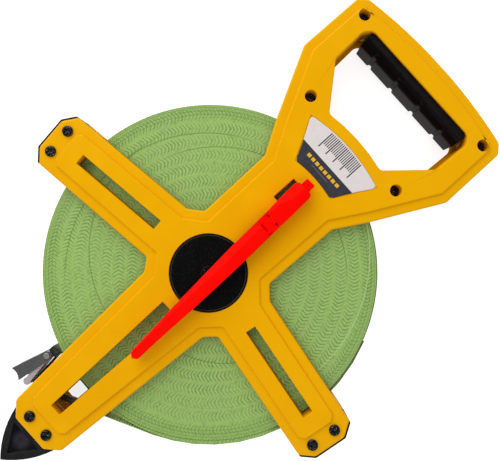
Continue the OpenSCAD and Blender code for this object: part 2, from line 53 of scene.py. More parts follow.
JOINT = {j["name"]: j for j in frame["joints"]}


def box_mm(node):
    """Lowest and highest corner of a CAD node, in millimetres."""
    low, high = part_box(node)
    return low / MM, high / MM


# ---------- Camera, floor and light ----------

# Place in metres, turn in radians, lens in millimetres
CAMERA_AT = (0.0445963, -0.0010515, 0.4169263)
CAMERA_TURN = (0.0082, 0.0067, -0.7303)
LENS = 36.396


def make_camera():
    data = bpy.data.cameras.new("camera")
    data.sensor_fit = "HORIZONTAL"
    data.sensor_width = 36.0
    data.lens = LENS
    data.clip_start = 0.01
    cam = bpy.data.objects.new("camera", data)
    bpy.context.scene.collection.objects.link(cam)
    about_x, about_y, about_z = CAMERA_TURN
    turn = (Matrix.Rotation(about_z, 3, "Z") @ Matrix.Rotation(about_x, 3, "X")
            @ Matrix.Rotation(about_y, 3, "Y"))
    cam.matrix_world = Matrix.Translation(CAMERA_AT) @ turn.to_4x4()
    bpy.context.scene.camera = cam


def soft_light(name, at, target, size, power):
    data = bpy.data.lights.new(name, "AREA")
    data.shape = "DISK"
    data.size = size
    data.energy = power
    lamp = bpy.data.objects.new(name, data)
    bpy.context.scene.collection.objects.link(lamp)
    lamp.location = at
    lamp.rotation_euler = (Vector(target) - Vector(at)).to_track_quat("-Z", "Y").to_euler()


def make_world(level, gloss_level):
    world = bpy.data.worlds.new("studio")
    bpy.context.scene.world = world
    world.use_nodes = True
    tree = world.node_tree
    tree.nodes.clear()
    out = tree.nodes.new("ShaderNodeOutputWorld")
    mix = tree.nodes.new("ShaderNodeMixShader")
    path = tree.nodes.new("ShaderNodeLightPath")
    tree.links.new(path.outputs["Is Glossy Ray"], mix.inputs[0])
    for i, strength in ((1, level), (2, gloss_level)):
        back = tree.nodes.new("ShaderNodeBackground")
        back.inputs["Color"].default_value = (1.0, 1.0, 1.0, 1.0)
        back.inputs["Strength"].default_value = strength
        tree.links.new(back.outputs[0], mix.inputs[i])
    tree.links.new(mix.outputs[0], out.inputs[0])


def tidy_view():
    view = bpy.context.scene.view_settings
    view.view_transform = "Standard"
    view.look = "None"


# ---------- Material nodes ----------

class Paint:
    """Adds nodes to one procedural material."""

    def __init__(self, name):
        self.mat = bpy.data.materials.new(name)
        self.mat.use_nodes = True
        self.tree = self.mat.node_tree
        self.tree.nodes.clear()
        self.bsdf = self.add("ShaderNodeBsdfPrincipled")
        out = self.add("ShaderNodeOutputMaterial")
        self.tree.links.new(self.bsdf.outputs[0], out.inputs[0])
        self.place = self.add("ShaderNodeTexCoord").outputs["Object"]

    def add(self, kind, **settings):
        node = self.tree.nodes.new(kind)
        for key, value in settings.items():
            setattr(node, key, value)
        return node

    def put(self, value, socket):
        if hasattr(value, "is_output"):
            self.tree.links.new(value, socket)
        elif isinstance(value, (tuple, list)) and socket.type == "RGBA":
            socket.default_value = (*value[:3], 1.0)
        else:
            socket.default_value = value

    def set(self, **values):
        names = {"colour": "Base Color", "rough": "Roughness", "metal": "Metallic",
                 "specular": "Specular IOR Level",
                 "tint": "Specular Tint", "normal": "Normal"}
        for key, value in values.items():
            self.put(value, self.bsdf.inputs[names[key]])
        return self.mat

    def maths(self, operation, *values):
        node = self.add("ShaderNodeMath", operation=operation)
        for i, value in enumerate(values):
            self.put(value, node.inputs[i])
        return node.outputs[0]

    def plus(self, a, b):
        return self.maths("ADD", a, b)

    def minus(self, a, b):
        return self.maths("SUBTRACT", a, b)

    def times(self, a, b):
        return self.maths("MULTIPLY", a, b)

    def size(self, a):
        return self.maths("ABSOLUTE", a)

    def gap(self, a, b):
        return self.size(self.minus(a, b))

    def length(self, a, b):
        return self.maths("SQRT", self.plus(self.times(a, a), self.times(b, b)))

    def noise(self, scale, detail=2.0, rough=0.5, at=None, distort=0.0):
        node = self.add("ShaderNodeTexNoise")
        self.put(at or self.place, node.inputs["Vector"])
        node.inputs["Scale"].default_value = scale
        node.inputs["Detail"].default_value = detail
        node.inputs["Roughness"].default_value = rough
        node.inputs["Distortion"].default_value = distort
        return node.outputs["Fac"]

    def ramp(self, factor, *stops):
        node = self.add("ShaderNodeValToRGB")
        self.put(factor, node.inputs[0])
        band = node.color_ramp
        while len(band.elements) < len(stops):
            band.elements.new(0.5)
        for element, (position, colour) in zip(band.elements, stops):
            element.position = position
            rgb = colour if hasattr(colour, "__len__") else (colour,) * 3
            element.color = (*rgb, 1.0)
        return node.outputs[0]

    def mix(self, factor, a, b):
        node = self.add("ShaderNodeMix", data_type="RGBA")
        self.put(factor, node.inputs[0])
        self.put(a, node.inputs[6])
        self.put(b, node.inputs[7])
        return node.outputs[2]

    def step(self, value, low, high, to_low=0.0, to_high=1.0):
        node = self.add("ShaderNodeMapRange", interpolation_type="SMOOTHSTEP")
        for socket, number in zip(node.inputs[1:5], (low, high, to_low, to_high)):
            socket.default_value = number
        self.put(value, node.inputs[0])
        return node.outputs[0]

    def xyz(self, socket=None):
        node = self.add("ShaderNodeSeparateXYZ")
        self.put(socket or self.place, node.inputs[0])
        return node.outputs

    def flatness(self):
        """1 on faces that look up or down, 0 on side walls."""
        return self.size(self.xyz(self.add("ShaderNodeNewGeometry").outputs["Normal"])[2])

    def bump(self, height, strength, distance):
        node = self.add("ShaderNodeBump")
        node.inputs["Strength"].default_value = strength
        node.inputs["Distance"].default_value = distance
        self.put(height, node.inputs["Height"])
        return node.outputs[0]


def yellow_plastic():
    p = Paint("yellow_shell_plastic")
    drift = p.noise(7.0, 2.0)
    grain = p.noise(1400.0, 3.0, 0.6)
    flow = p.noise(30.0, 3.0, 0.5, distort=0.4)
    body = p.ramp(drift, (0.3, (0.76, 0.355, 0.0006)), (0.7, (0.79, 0.378, 0.0008)))
    body = p.mix(p.step(flow, 0.35, 0.75), body, (0.80, 0.388, 0.0010))
    body = p.mix(p.step(grain, 0.55, 0.8, 0.0, 0.25), body, (0.81, 0.405, 0.002))
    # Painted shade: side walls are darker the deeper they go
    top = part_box("front_frame")[1].z
    side = p.step(p.flatness(), 0.2, 0.6, 1.0, 0.0)
    deep = p.step(p.xyz()[2], top - 12 * MM, top - 1.0 * MM, 0.85, 0.0)
    shade = p.times(side, deep)
    body = p.mix(shade, body, (0.30, 0.095, 0.0004))
    return p.set(colour=body, rough=p.ramp(flow, (0.3, 0.34), (0.7, 0.42)),
                 specular=p.step(side, 0.0, 0.5, 0.3, 0.0),
                 tint=(1.0, 0.72, 0.05), normal=p.bump(grain, 0.25, 0.0001))


def red_plastic():
    p = Paint("red_crank_plastic")
    drift = p.noise(60.0, 3.0, 0.6)
    grain = p.noise(1800.0, 2.0)
    body = p.ramp(drift, (0.3, (0.93, 0.0006, 0.0003)), (0.7, (0.98, 0.0022, 0.0006)))
    return p.set(colour=body, rough=p.ramp(drift, (0.3, 0.34), (0.75, 0.46)), specular=0.25,
                 tint=(1.0, 0.10, 0.04), normal=p.bump(grain, 0.18, 0.00008))


def black_plastic(name="black_moulded_plastic", level=0.005, speckle=0.35, specular=0.12, rings=()):
    """Speckled black. Each ring is a radius and a half width in millimetres, and a grey level, and can be a
    painted highlight.
    """
    p = Paint(name)
    fleck = p.noise(1500.0, 2.0, 0.7)
    cloud = p.noise(70.0, 3.0)
    body = p.ramp(cloud, (0.3, (level, level * 0.9, level)), (0.75, (level * 1.9,) * 3))
    body = p.mix(p.step(fleck, 0.62, 0.74, 0.0, speckle), body, (0.075, 0.070, 0.075))
    x, y, _ = p.xyz()
    r = p.length(x, y)
    for radius, half, grey in rings:
        off = p.gap(r, radius * MM)
        body = p.mix(p.step(off, 0.6 * half * MM, half * MM, 1.0, 0.0), body, (grey, grey, grey))
    return p.set(colour=body, rough=p.ramp(cloud, (0.3, 0.38), (0.7, 0.5)), specular=specular,
                 normal=p.bump(fleck, 0.45, 0.0001))


def spike_plastic():
    """Dull rim, and a shinier hollow between the walls of the spike, with painted shade toward those walls."""
    p = Paint("spike_plastic")
    low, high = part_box("ground_spike")
    x, y, z = p.xyz()
    middle = (low.z + high.z) / 2
    half = high.z - middle
    hollow = p.step(p.gap(z, middle), half - 1.6 * MM, half - 1.1 * MM, 1.0, 0.0)
    far = p.length(p.minus(x, low.x + 0.42 * (high.x - low.x)), y)
    cloud = p.noise(170.0, 4.0, 0.6)
    rim = p.ramp(cloud, (0.3, (0.009, 0.009, 0.010)), (0.75, (0.019, 0.018, 0.020)))
    inner = p.ramp(cloud, (0.3, (0.014, 0.012, 0.019)), (0.75, (0.030, 0.026, 0.038)))
    # Painted shade: the hollow turns near black away from its middle, toward its walls.
    inner = p.mix(p.step(far, 3.5 * MM, 9.5 * MM), inner, (0.0015, 0.0012, 0.002))
    return p.set(colour=p.mix(hollow, rim, inner), rough=p.step(hollow, 0.0, 1.0, 0.46, 0.3),
                 specular=p.step(hollow, 0.0, 1.0, 0.14, 0.25), normal=p.bump(cloud, 0.2, 0.0003))


def grip_rubber():
    """Glossy flanks, with a face for the fingers and a ledge along each edge that are rougher and painted paler as
    a painted sheen.
    """
    p = Paint("grip_rubber")
    low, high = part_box("handle_grip")
    x, _, z = p.xyz()
    middle = (low.z + high.z) / 2
    away = p.gap(z, middle)
    grain = p.noise(900.0, 2.0)
    face = p.times(p.step(away, 7.6 * MM, 8.8 * MM, 1.0, 0.0),
                   p.step(x, low.x + 2.4 * MM, low.x + 2.9 * MM, 1.0, 0.0))
    ledge = p.step(away, 14.2 * MM, 14.9 * MM)
    dust = p.noise(160.0, 4.0, 0.65)
    # Painted sheen: the finger face and the ledges take this paler colour, along with a rougher surface.
    sheen_colour = p.ramp(dust, (0.3, (0.009, 0.007, 0.008)), (0.7, (0.015, 0.013, 0.014)))
    gloss = p.ramp(dust, (0.3, (0.0020, 0.0012, 0.0016)), (0.8, (0.0045, 0.0030, 0.0036)))
    sheen_mask = p.maths("MAXIMUM", face, p.times(ledge, 0.5))
    return p.set(colour=p.mix(sheen_mask, gloss, sheen_colour), rough=p.step(sheen_mask, 0.0, 1.0, 0.28, 0.55),
                 specular=0.10, normal=p.bump(grain, 0.12, 0.0001))


def bumper_rubber():
    p = Paint("bumper_rubber")
    grain = p.noise(700.0, 4.0, 0.65)
    wear = p.noise(55.0, 3.0)
    body = p.ramp(wear, (0.3, (0.006, 0.006, 0.007)), (0.75, (0.014, 0.013, 0.014)))
    return p.set(colour=body, rough=p.ramp(grain, (0.3, 0.55), (0.7, 0.75)), specular=0.2,
                 normal=p.bump(grain, 0.35, 0.00015))


def steel(name, dark, light, rough=0.34, scale=(1, 1, 1), metal=0.85):
    """Brushed along the axis with the smallest scale, and a little stained."""
    p = Paint(name)
    mapping = p.add("ShaderNodeMapping")
    p.put(p.place, mapping.inputs["Vector"])
    mapping.inputs["Scale"].default_value = scale
    brushed = p.noise(900.0, 3.0, 0.6, at=mapping.outputs[0])
    stain = p.noise(130.0, 3.0)
    body = p.ramp(brushed, (0.3, dark), (0.7, light))
    body = p.mix(p.step(stain, 0.5, 0.8, 0.0, 0.35), body, tuple(c * 0.75 for c in dark))
    return p.set(colour=body, metal=metal, rough=p.ramp(stain, (0.3, rough), (0.75, rough + 0.14)),
                 normal=p.bump(brushed, 0.2, 0.00008))


def screw_black():
    p = Paint("black_zinc_screw")
    glint_noise = p.noise(1300.0, 3.0, 0.6)
    # Painted glints: the brightest flecks stand in for light caught on the heads.
    body = p.ramp(glint_noise, (0.50, (0.0020, 0.0018, 0.0022)), (0.60, (0.012, 0.011, 0.012)),
                  (0.68, (0.36, 0.35, 0.36)))
    return p.set(colour=body, metal=0.25, rough=p.ramp(glint_noise, (0.3, 0.16), (0.7, 0.32)),
                 specular=0.4, normal=p.bump(glint_noise, 0.2, 0.0001))


def nylon():
    p = Paint("bush_nylon")
    cloud = p.noise(240.0, 3.0)
    return p.set(colour=p.ramp(cloud, (0.3, (0.62, 0.58, 0.48)), (0.7, (0.72, 0.69, 0.60))),
                 rough=p.ramp(cloud, (0.3, 0.4), (0.7, 0.55)), normal=p.bump(cloud, 0.1, 0.0001))


TAPE_LIGHT = (0.358, 0.560, 0.146)
TAPE_MID = (0.290, 0.482, 0.104)
TAPE_DARK = (0.105, 0.215, 0.036)
TAPE_PALE = (0.385, 0.56, 0.195)


def chevrons(p, r, angle, wobble, fine):
    """Wave that peaks on the dark lines of the chevrons, which stand in rings round the reel."""
    ring_from, ring_w, pitch, depth = 36.0, 10.4, 2.9, 3.4
    spread = p.plus(p.minus(r, ring_from), p.times(wobble, 3.2))
    share = p.maths("DIVIDE", spread, ring_w)
    middle = p.plus(p.times(p.plus(p.maths("FLOOR", share), 0.5), ring_w), ring_from)
    count = p.maths("FLOOR", p.maths("DIVIDE", middle, pitch / (2 * math.pi)))
    offset = p.size(p.minus(p.times(p.maths("FRACT", share), 2.0), 1.0))
    arch = p.minus(1.0, p.maths("POWER", offset, 1.35))
    phase = p.plus(p.times(angle, count), p.times(arch, 2 * math.pi * depth / pitch))
    phase = p.plus(phase, p.plus(p.times(wobble, 6.0), p.times(fine, 2.6)))
    return p.times(p.maths("SINE", phase), p.step(offset, 0.60, 0.95, 1.0, 0.15))


def wave(p, r, pitch):
    return p.maths("SINE", p.times(r, 2 * math.pi / pitch))


def outer_turns(p, body, r, angle, wobble):
    """The outer turns stand out as broken lines, and the last one has a painted shadow on one side."""
    rim = p.step(r, 118.0, 123.0)
    around = p.maths("SINE", p.plus(p.times(angle, 410.0), p.times(wobble, 9.0)))
    dots = p.times(wave(p, r, 2.3), around)
    body = p.mix(p.times(rim, p.step(dots, 0.15, 0.7, 0.0, 0.65)), body, TAPE_DARK)
    body = p.mix(p.times(rim, p.step(wave(p, r, 2.6), 0.55, 0.95, 0.0, 0.55)), body, TAPE_DARK)
    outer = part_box("tape_pack")[1].x / MM
    # Painted shadow on the last turn, on one side of the reel.
    shadow_side = p.step(p.size(p.plus(angle, 1.0)), 0.75, 1.0, 1.0, 0.0)
    last = p.times(shadow_side, p.step(r, outer - 0.8, outer - 0.5))
    return p.mix(last, body, (0.02, 0.03, 0.01))


def loose_turns(p, body, r, angle):
    """A few turns that wander: radius in millimetres, middle angle, and slope for each."""
    lines = ((96.0, 2.2, -17.0, TAPE_DARK), (121.0, -0.9, 14.0, (0.42, 0.58, 0.24)),
             (70.0, -2.3, 11.0, TAPE_DARK), (110.0, 1.5, 3.0, TAPE_DARK),
             (101.0, 0.2, -6.0, TAPE_DARK))
    for start_r, start_a, slope, colour in lines:
        turned = p.maths("WRAP", p.minus(angle, start_a), math.pi, -math.pi)
        off = p.gap(r, p.plus(p.times(turned, slope), start_r))
        near = p.times(p.step(off, 0.25, 0.6, 0.65, 0.0), p.step(p.size(turned), 0.75, 1.15, 1.0, 0.0))
        body = p.mix(near, body, colour)
    return body


def ruler_ticks(p, along, from_edge, spacing, half, fade, reach):
    """Ticks across the tape's face, full to half, gone at fade, and reaching in from the edge."""
    tick = p.step(p.maths("PINGPONG", along, spacing), half, fade, 1.0, 0.0)
    return p.times(tick, p.step(from_edge, reach * MM, (reach + 0.2) * MM, 1.0, 0.0))


def tape_paint(name, loose=False):
    """Wound tape: edges of the turns with chevrons, and ticks on the tape's own face."""
    p = Paint(name)
    x, y, z = p.xyz()
    r = p.times(p.length(x, y), 1000.0)
    angle = p.maths("ARCTAN2", y, x)
    wobble = p.noise(60.0, 3.0, 0.55)
    fine = p.noise(420.0, 3.0, 0.6)
    scallop = chevrons(p, r, angle, wobble, fine)
    turns = wave(p, r, 1.0)
    across = p.add("ShaderNodeCombineXYZ")
    p.put(p.times(r, 0.75), across.inputs[0])
    rings = p.noise(1.0, 3.0, 0.7, at=across.outputs[0])
    body = p.ramp(rings, (0.32, TAPE_MID), (0.5, (0.295, 0.455, 0.125)), (0.68, TAPE_LIGHT))
    strong = p.step(p.noise(26.0, 3.0), 0.38, 0.60, 0.50, 1.0)
    body = p.mix(p.times(strong, p.step(scallop, 0.25, 0.9, 0.0, 0.75)), body, TAPE_DARK)
    body = p.mix(p.times(strong, p.step(scallop, -0.9, -0.35, 0.55, 0.0)), body, TAPE_PALE)
    body = p.mix(p.step(turns, 0.2, 1.0, 0.0, 0.16), body, TAPE_DARK)
    body = p.mix(p.step(fine, 0.50, 0.72, 0.0, 0.42), body, TAPE_DARK)
    body = p.mix(p.step(fine, 0.30, 0.45, 0.30, 0.0), body, TAPE_LIGHT)
    body = outer_turns(p, body, r, angle, wobble)
    patch = p.noise(22.0, 3.0)
    body = p.mix(p.step(patch, 0.45, 0.75, 0.0, 0.30), body, (0.28, 0.41, 0.14))
    body = loose_turns(p, body, r, angle)
    # The face of the tape, seen from the side
    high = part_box("tape_pack")[1]
    along = p.times(angle, high.x / MM)
    from_edge = p.minus(high.z, z)
    marks = p.maths("MAXIMUM", ruler_ticks(p, along, from_edge, 5.0, 0.20, 0.35, 6.0),
                    ruler_ticks(p, along, from_edge, 1.0, 0.14, 0.24, 3.0))
    face = p.ramp(fine, (0.3, (0.42, 0.58, 0.17)), (0.7, (0.52, 0.68, 0.24)))
    face = p.mix(marks, face, (0.02, 0.02, 0.02))
    body = p.mix(p.step(p.flatness(), 0.4, 0.7), face, body)
    if loose:
        # The last stretch is a black leader with a thin green edge
        leader = p.ramp(fine, (0.3, (0.006, 0.006, 0.006)), (0.7, (0.016, 0.015, 0.015)))
        leader = p.mix(p.step(from_edge, 10.2 * MM, 10.6 * MM), leader, (0.30, 0.36, 0.08))
        last = p.times(p.step(x, -127.5 * MM, -126.5 * MM, 1.0, 0.0),
                       p.step(y, -12.5 * MM, -12.0 * MM))
        body = p.mix(last, body, leader)
    relief = p.plus(p.times(scallop, 0.5), turns)
    return p.set(colour=body, rough=p.ramp(rings, (0.3, 0.5), (0.7, 0.66)), specular=0.25,
                 normal=p.bump(relief, 0.35, 0.00012))


def label_paint(split, outer):
    """Two-tone label, dark inside of x = split and white outside, with no lettering."""
    p = Paint("label_film")
    x, y, _ = p.xyz()
    r = p.times(p.length(x, y), 1000.0)
    paper = p.noise(300.0, 3.0, 0.6)
    white = p.ramp(paper, (0.3, (0.66, 0.61, 0.595)), (0.7, (0.70, 0.645, 0.63)))
    dark = p.ramp(paper, (0.3, (0.030, 0.030, 0.042)), (0.7, (0.040, 0.040, 0.054)))
    across = p.times(y, 1000.0)
    outward = p.times(x, 1000.0)
    aside = p.size(across)
    # Ruler ticks on the white part, longer at each fifth
    inside = p.times(p.step(aside, 16.4, 16.6, 1.0, 0.0), p.step(r, outer - 1.3, outer - 1.1, 1.0, 0.0))
    short = p.times(p.step(p.maths("PINGPONG", across, 0.8), 0.30, 0.42, 1.0, 0.0),
                    p.step(outward, split + 8.6, split + 8.8))
    long = p.times(p.step(p.maths("PINGPONG", across, 4.0), 0.42, 0.54, 1.0, 0.0),
                   p.step(outward, split + 4.6, split + 4.8))
    white = p.mix(p.times(p.maths("MAXIMUM", short, long), inside), white, (0.040, 0.040, 0.046))
    # A broken yellow stripe and a thin line on the dark part
    stripe = p.step(p.gap(outward, split - 4.9), 1.25, 1.45, 1.0, 0.0)
    dashes = p.times(p.step(p.maths("PINGPONG", across, 2.2), 0.55, 0.75), stripe)
    dashes = p.times(dashes, p.step(aside, 17.2, 17.4, 1.0, 0.0))
    thin = p.times(p.step(p.gap(outward, split - 8.6), 0.25, 0.45, 0.35, 0.0),
                   p.step(aside, 8.6, 8.8, 1.0, 0.0))
    dark = p.mix(dashes, dark, (0.72, 0.40, 0.02))
    dark = p.mix(thin, dark, (0.30, 0.22, 0.14))
    body = p.mix(p.step(x, (split - 0.15) * MM, (split + 0.15) * MM), dark, white)
    return p.set(colour=body, rough=p.ramp(paper, (0.3, 0.38), (0.7, 0.5)), specular=0.3,
                 normal=p.bump(paper, 0.05, 0.0001))


def floor_paint():
    p = Paint("studio_floor")
    cloud = p.noise(3.0, 2.0)
    p.put(1.0, p.bsdf.inputs["Emission Strength"])
    p.put((0.80, 0.80, 0.80), p.bsdf.inputs["Emission Color"])
    return p.set(colour=p.ramp(cloud, (0.3, 0.44), (0.7, 0.46)), rough=0.9, specular=0.0)


# ---------- Mesh helpers ----------

def finish_piece(obj, node, mat):
    """Gives the piece its material and body, and hides the CAD node that it stands for."""
    obj.data.materials.clear()
    obj.data.materials.append(mat)
    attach(obj, BODY_OF[node])
    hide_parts(node)
    return obj


def finish_detail(obj, body, mat):
    """A red piece beside the one that stands for a CAD node."""
    obj.data.materials.append(mat)
    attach(obj, body)


def object_of(name, bm, sharp=38.0):
    """New object from a bmesh in millimetres, smooth except at sharp edges."""
    bmesh.ops.recalc_face_normals(bm, faces=bm.faces)
    for f in bm.faces:
        f.smooth = True
    for e in bm.edges:
        e.smooth = len(e.link_faces) == 2 and e.calc_face_angle(0.0) < math.radians(sharp)
    mesh = bpy.data.meshes.new(name)
    bm.to_mesh(mesh)
    bm.free()
    mesh.transform(Matrix.Scale(MM, 4))
    obj = bpy.data.objects.new(name, mesh)
    bpy.context.scene.collection.objects.link(obj)
    return obj


def grid_mesh(rows, close_rows=False):
    """Loft through rows of points, each a ring. The ends are joined or capped."""
    bm = bmesh.new()
    made = [[bm.verts.new(p) for p in row] for row in rows]
    n, m = len(made), len(made[0])
    for i in range(n if close_rows else n - 1):
        a, b = made[i], made[(i + 1) % n]
        for j in range(m):
            k = (j + 1) % m
            bm.faces.new((a[j], a[k], b[k], b[j]))
    if not close_rows:
        bm.faces.new(made[0])
        bm.faces.new(list(reversed(made[-1])))
    return bm


def clean_copy(node):
    """The CAD node's mesh in millimetres, welded. Faces with more than four corners are triangulated."""
    source = NODES[node].data
    bm = bmesh.new()
    verts = [bm.verts.new(v.co / MM) for v in source.vertices]
    for poly in source.polygons:
        try:
            bm.faces.new([verts[i] for i in poly.vertices])
        except ValueError:
            continue
    bmesh.ops.remove_doubles(bm, verts=bm.verts, dist=0.004)
    bmesh.ops.dissolve_degenerate(bm, edges=bm.edges, dist=0.003)
    bmesh.ops.dissolve_limit(bm, angle_limit=math.radians(0.6), verts=bm.verts, edges=bm.edges)
    bmesh.ops.triangulate(bm, faces=[f for f in bm.faces if len(f.verts) > 4])
    bmesh.ops.recalc_face_normals(bm, faces=bm.faces)
    return bm


def islands(node):
    """Boxes of the separate solids in a node, in millimetres."""
    bm = clean_copy(node)
    left, found = set(bm.verts), []
    while left:
        queue = [left.pop()]
        group = list(queue)
        while queue:
            for e in queue.pop().link_edges:
                for v in e.verts:
                    if v in left:
                        left.remove(v)
                        queue.append(v)
                        group.append(v)
        cs = [v.co for v in group]
        found.append((Vector(map(min, *cs)), Vector(map(max, *cs))))
    bm.free()
    return sorted(found, key=lambda b: (round(b[0].x, 1), round(b[0].y, 1)))


def weigh(bm, radius_of, widest):
    """Stores each sharp edge's rounding as a share of the widest."""
    layer = bm.edges.layers.float.new("bevel_weight_edge")
    for e in bm.edges:
        if len(e.link_faces) == 2 and e.calc_face_angle(0.0) > math.radians(24):
            e[layer] = min(1.0, radius_of(e) / widest)


def round_edges(obj, widest, segments=3, by_weight=True, angle=24.0):
    """Rounds edges by their stored share, or all edges sharper than the angle in degrees."""
    mod = obj.modifiers.new("round", "BEVEL")
    mod.width = widest * MM
    mod.segments = segments
    mod.limit_method = "WEIGHT" if by_weight else "ANGLE"
    mod.angle_limit = math.radians(angle)
    mod.use_clamp_overlap = False
    mod.loop_slide = False
    mod.miter_outer = "MITER_ARC"
    mod.harden_normals = False
    normals = obj.modifiers.new("normals", "WEIGHTED_NORMAL")
    normals.keep_sharp = True
    return obj


def remake(node, name, mat, radius, segments, widest=None):
    """The CAD node's shape with rounded edges. radius is a number or a function of the edge."""
    bm = clean_copy(node)
    rule = radius if callable(radius) else (lambda e: radius)
    widest = widest or radius
    weigh(bm, rule, widest)
    obj = object_of(name, bm, sharp=180.0)
    round_edges(obj, widest, segments)
    return finish_piece(obj, node, mat)


def cut(obj, cutter):
    """Takes the cutter's volume out of obj."""
    mod = obj.modifiers.new("cut", "BOOLEAN")
    mod.operation = "DIFFERENCE"
    mod.solver = "EXACT"
    mod.object = cutter
    graph = bpy.context.evaluated_depsgraph_get()
    mesh = bpy.data.meshes.new_from_object(obj.evaluated_get(graph))
    obj.modifiers.clear()
    obj.data = mesh
    bpy.data.objects.remove(cutter)
    return obj


def block(name, low, high, matrix):
    """A box between two corners, placed by the matrix."""
    bm = bmesh.new()
    bmesh.ops.create_cube(bm, size=1.0)
    for v in bm.verts:
        v.co = Vector([(h + l) / 2 + c * (h - l) for l, h, c in zip(low, high, v.co)])
    obj = object_of(name, bm, sharp=10.0)
    obj.data.transform(matrix)
    return obj


# ---------- Shells ----------

# Direction of the side arms, and how far their middle line passes from the reel's axis
ARM = math.radians(97.8)
ARM_SHIFT = 2.5
# Drop from the raised face to the rim round it
STEP = 2.0
# Bounds of each place on a shell, as radii, spans and half widths
SCREW_R, HUB_R = 5.2, 31
LATCH_X, LATCH_HALF = (74, 96.5), 10.5
LABEL_R, LABEL_DEGREES = (106, 143.5), 16.5
ARM_SLOT, ARM_SLOT_HALF = (51.5, 131.5), 5.2
REAR_SLOT_X, REAR_SLOT_HALF = (-156, -39), 7.6
HAND_FROM, HAND_BAR, HAND_HALF = 147, 14, 59
# Rounding of the edges of the raised face, and of the upright corners below it
FACE_ROUND = {"outline": 1.2, "slot": 0.45, "hand": 0.9, "hub": 0.5, "latch": 0.8,
              "label": 0.15, "screw": 0.35}
CORNER_ROUND = {"outline": 1.7, "slot": 0.5, "hand": 2.4, "latch": 0.4}
LONGEST_SCREW_EDGE = 2.2


def within(value, span):
    return span[0] < value < span[1]


def shell_rule(node):
    """How far each edge of a shell is rounded, in millimetres, by the place that it is in."""
    end_x = box_mm(node)[1].x
    front = node == "front_frame"
    thick = box_mm("front_frame")[1].z

    def level(v):
        return v.co.z if front else thick - v.co.z

    screws = [((a + b) / 2).xy for n in ("handle_screws", "arm_screws") for a, b in islands(n)]

    def region(c):
        r = math.hypot(c.x, c.y)
        along = c.x * math.cos(ARM) + abs(c.y) * math.sin(ARM)
        across = c.x * math.sin(ARM) - abs(c.y) * math.cos(ARM) - ARM_SHIFT
        if any((c.xy - s).length < SCREW_R for s in screws):
            return "screw"
        if r < HUB_R:
            return "hub"
        if within(c.x, LATCH_X) and abs(c.y) < LATCH_HALF:
            return "latch"
        if within(r, LABEL_R) and abs(math.degrees(math.atan2(c.y, c.x))) < LABEL_DEGREES:
            return "label"
        if within(along, ARM_SLOT) and abs(across) < ARM_SLOT_HALF:
            return "slot"
        if within(c.x, REAR_SLOT_X) and abs(c.y) < REAR_SLOT_HALF:
            return "slot"
        if within(c.x, (HAND_FROM, end_x - HAND_BAR)) and abs(c.y) < HAND_HALF:
            return "hand"
        return "outline"

    def rule(e):
        a, b = (level(v) for v in e.verts)
        centre = (e.verts[0].co + e.verts[1].co) / 2
        where = region(centre)
        if where == "screw" and e.calc_length() > LONGEST_SCREW_EDGE:
            where = "outline"
        top = max(level(v) for f in e.link_faces for v in f.verts)
        flat = abs(a - b) < 0.01
        if top < thick - STEP - 0.2:
            return 0.0
        if flat:
            if abs(a - thick) < 0.02:
                return FACE_ROUND[where]
            if abs(a - (thick - STEP)) < 0.02:
                return 1.7 if e.is_convex else 0.45
            if where == "outline" and a < thick - 10:
                return 0.35
            return 0.0
        if where in ("screw", "label", "hub"):
            return 0.0
        if min(a, b) > thick - STEP - 0.1:
            return 0.9
        return CORNER_ROUND[where]

    return rule


# ---------- Grip ----------

def smooth_step(t):
    t = max(0.0, min(1.0, t))
    return t * t * (3 - 2 * t)


def make_grip(mat):
    low, high = box_mm("handle_grip")
    middle = (low.z + high.z) / 2
    tall = (high.z - low.z) / 2
    back = high.x
    face = low.x
    # Section from the middle of the back, round one edge, to the middle of the face
    half = [(back, 0.0), (back, 9.6), (back - 0.6, 11.6), (back - 1.6, tall - 0.8), (back - 2.3, tall),
            (face + 9.6, tall), (face + 7.9, tall), (face + 6.9, tall - 0.35), (face + 5.4, tall - 1.05),
            (face + 3.9, tall - 1.85), (face + 2.8, tall - 2.75), (face + 1.7, tall - 3.9),
            (face + 0.85, tall - 5.0), (face + 0.3, tall - 6.05), (face + 0.04, tall - 7.1),
            (face, tall - 8.6), (face, 3.5), (face, 0.0)]
    ring = half + [(x, -z) for x, z in reversed(half[1:-1])]
    pitch, count, width, deep = 25.0, 4, 1.75, 1.9
    steps = 176
    rows = []
    for i in range(steps + 1):
        y = low.y + (high.y - low.y) * i / steps
        nearest = min(abs(y - (k - (count - 1) / 2) * pitch) for k in range(count))
        groove = deep * (1 - smooth_step((nearest - width * 0.55) / (width * 0.75)))
        row = []
        for x, z in ring:
            reach = smooth_step((face + 4.4 - x) / 3.0)
            row.append((x + groove * reach, y, middle + z))
        rows.append(row)
    obj = object_of("grip_pad", grid_mesh(rows), sharp=50.0)
    round_edges(obj, 0.35, 2, by_weight=False, angle=50.0)
    return finish_piece(obj, "handle_grip", mat)


# ---------- Wound tape ----------

def make_pack(mat):
    low, high = box_mm("tape_pack")
    core = box_mm("reel_core")[1].x + 0.02
    outer = high.x
    turns, around = 78, 288
    least_sink = 0.05
    profile = []
    for i in range(turns + 1):
        r = core + (outer - core) * i / turns
        sink = least_sink + 0.10 * (0.5 + 0.5 * math.sin(i * 2.4)) + 0.05 * (i % 2)
        profile.append((r, sink))
    rows = []
    for j in range(around):
        a = 2 * math.pi * j / around
        top, bottom = [], []
        for i, (r, sink) in enumerate(profile):
            ripple = 0.04 * math.sin(3 * a + i * 0.21) + 0.03 * math.sin(7 * a - i * 0.5)
            sunk = max(0.0, sink + ripple) if 0 < i < turns else least_sink
            x, y = r * math.cos(a), r * math.sin(a)
            top.append((x, y, high.z - sunk))
            bottom.append((x, y, low.z + sunk))
        rows.append(top + list(reversed(bottom)))
    obj = object_of("wound_tape", grid_mesh(rows, close_rows=True), sharp=60.0)
    return finish_piece(obj, "tape_pack", mat)


# ---------- Label ----------

